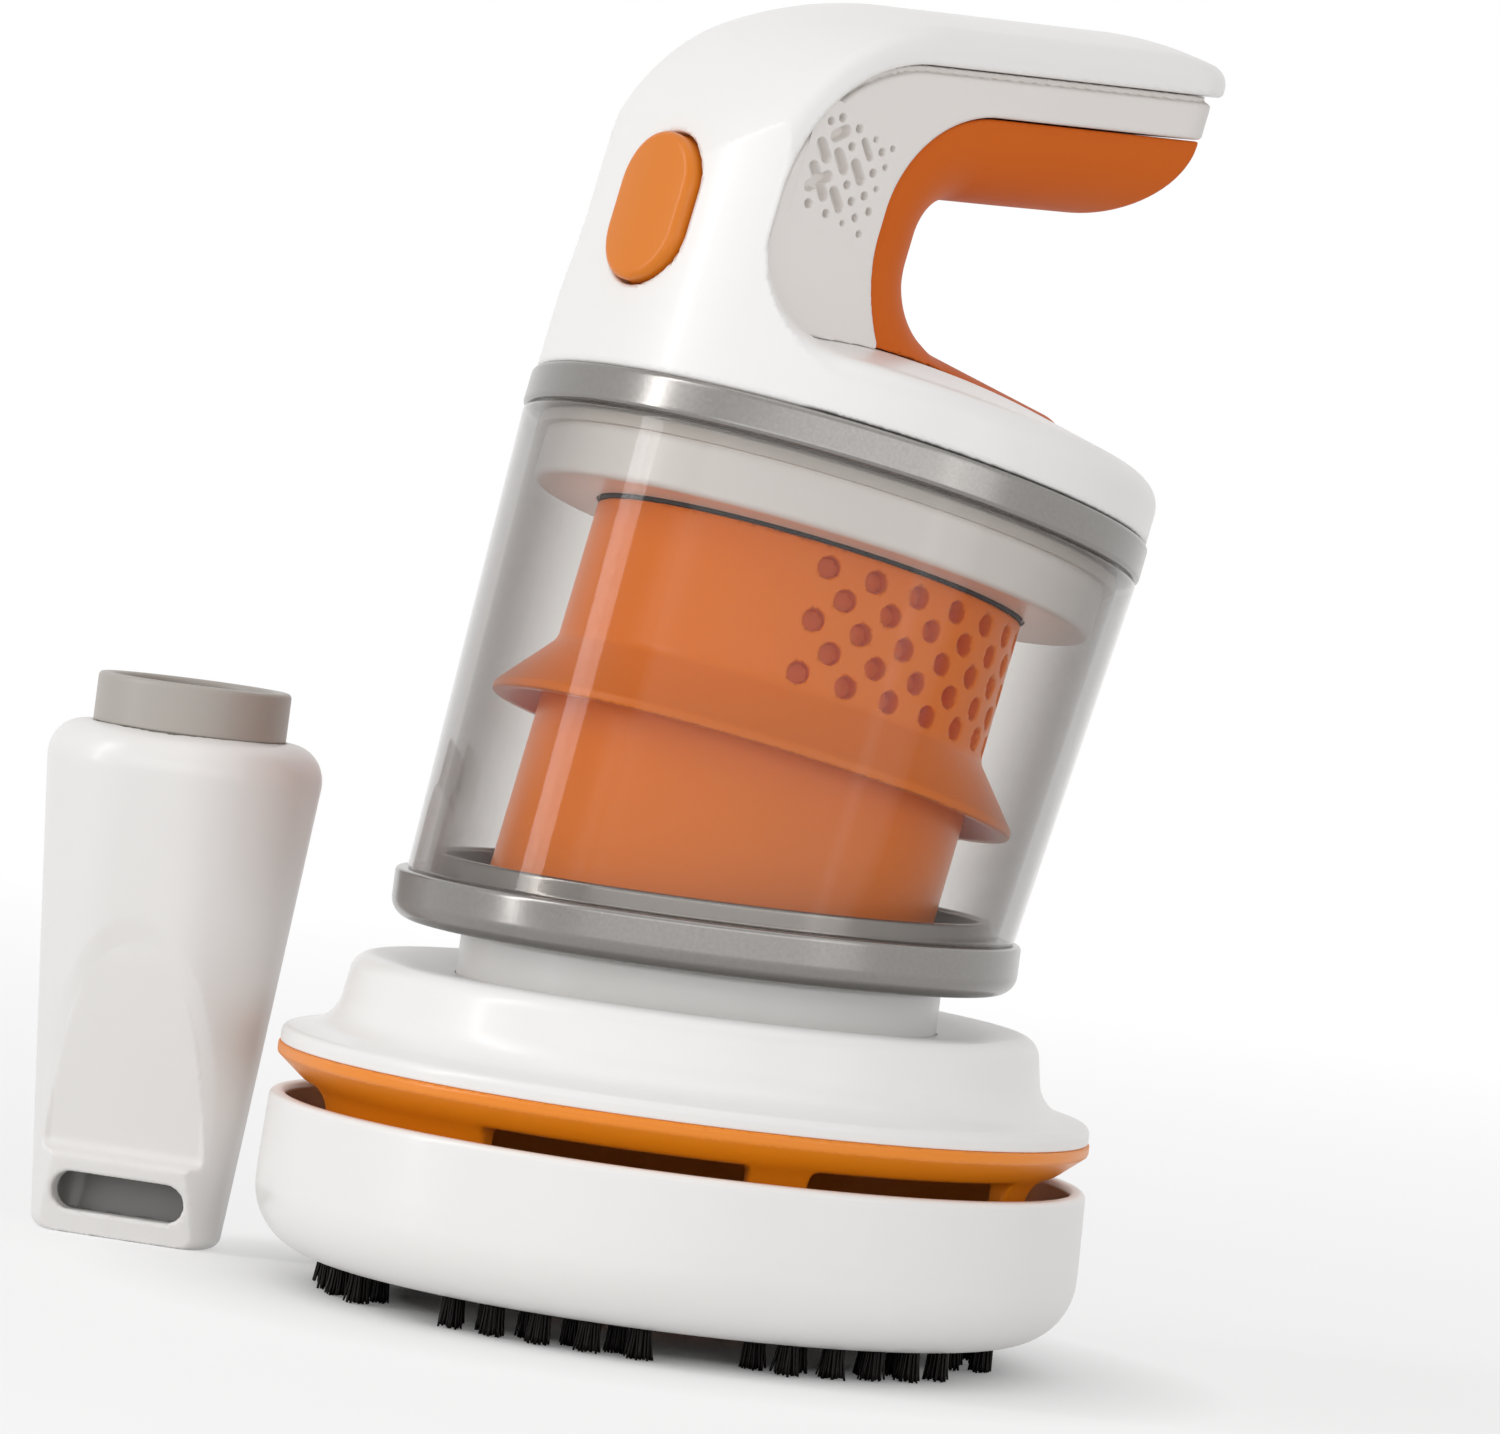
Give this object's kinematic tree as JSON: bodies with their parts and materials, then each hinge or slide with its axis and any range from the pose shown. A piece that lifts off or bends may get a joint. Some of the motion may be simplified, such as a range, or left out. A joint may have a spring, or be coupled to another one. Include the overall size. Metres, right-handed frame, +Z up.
{
  "type": "desk vacuum cleaner",
  "caption": "Small cordless desk and keyboard vacuum with a hook handle, clear cyclone dust cup and slotted brush head, with its crevice nozzle standing beside it.",
  "frame": {"origin": "on the suction axis, at the plane that the bristles and the nozzle's tip stand on", "axes": "+Z up along the suction axis, -Y towards the power button, +Y towards the end of the handle; the body above the cup's base leans back from +Z towards +Y by 11.5 degrees"},
  "size_m": [0.124, 0.1066, 0.1604],
  "materials": {
    "white_gloss": "glossy white moulding",
    "pale_panel": "fine matte pale panel",
    "orange_gloss": "glossy orange moulding",
    "orange_soft": "soft-touch orange rubber",
    "silver": "silver lacquer on plastic",
    "smoky_clear": "clear smoky moulding",
    "grey_plastic": "grey moulding",
    "pale_rubber": "pale seal rubber",
    "black_rubber": "black seal rubber",
    "filter_paper": "pleated paper",
    "steel": "plain steel",
    "dark_plastic": "black moulding",
    "board_green": "coated board",
    "cell_wrap": "shrink film",
    "bristle_black": "nylon bristle"
  },
  "bodies": {
    "housing": {"front_shell": "white_gloss", "neck_core": "pale_panel", "grip": "orange_soft", "switch": "dark_plastic", "circuit_board": "board_green", "battery_cell": "cell_wrap", "charging_port": "dark_plastic", "trim_ring": "silver", "filter_collar": "white_gloss", "cup_seal": "pale_rubber", "gasket": "black_rubber", "cyclone_core": "orange_gloss", "fine_filter": "filter_paper", "motor_mount": "dark_plastic", "motor": "steel", "motor_screws": "steel"},
    "button": {"power_button": "orange_gloss"},
    "fan": {"impeller": "dark_plastic", "motor_shaft": "steel"},
    "cup": {"dust_cup": "smoky_clear", "cup_base": "silver", "inlet_duct": "grey_plastic"},
    "head": {"bumper": "white_gloss", "slot_ring": "orange_gloss", "head_cover": "white_gloss", "head_neck": "white_gloss", "neck_seal": "black_rubber", "head_screws": "steel", "brush_strip_1": "bristle_black", "brush_strip_2": "bristle_black", "brush_strip_3": "bristle_black", "brush_strip_4": "bristle_black", "brush_strip_5": "bristle_black", "brush_strip_6": "bristle_black"},
    "nozzle": {"nozzle_body": "white_gloss", "nozzle_collar": "grey_plastic"}
  },
  "joints": [
    {"name": "button_press", "type": "slide", "parent": "housing", "child": "button", "axis": [0, 0.9799, -0.1994], "range_m": [0, 0.0012], "stiffness_N_per_m": 400, "springref_m": -0.001},
    {"name": "fan_spin", "type": "hinge", "parent": "housing", "child": "fan", "pos_m": [0, 0.00987, 0.09901], "axis": [0, 0.1994, 0.9799], "continuous": true},
    {"name": "cup_twist", "type": "hinge", "parent": "housing", "child": "cup", "pos_m": [0, 0, 0.0505], "axis": [0, 0.1994, 0.9799], "range_deg": [0, 18]},
    {"name": "head_pull", "type": "slide", "parent": "cup", "child": "head", "axis": [0, 0, -1], "range_m": [0, 0.02]},
    {"name": "nozzle_lift", "type": "slide", "parent": "housing", "child": "nozzle", "axis": [0, 0, 1], "range_m": [0, 0.06]}
  ]
}
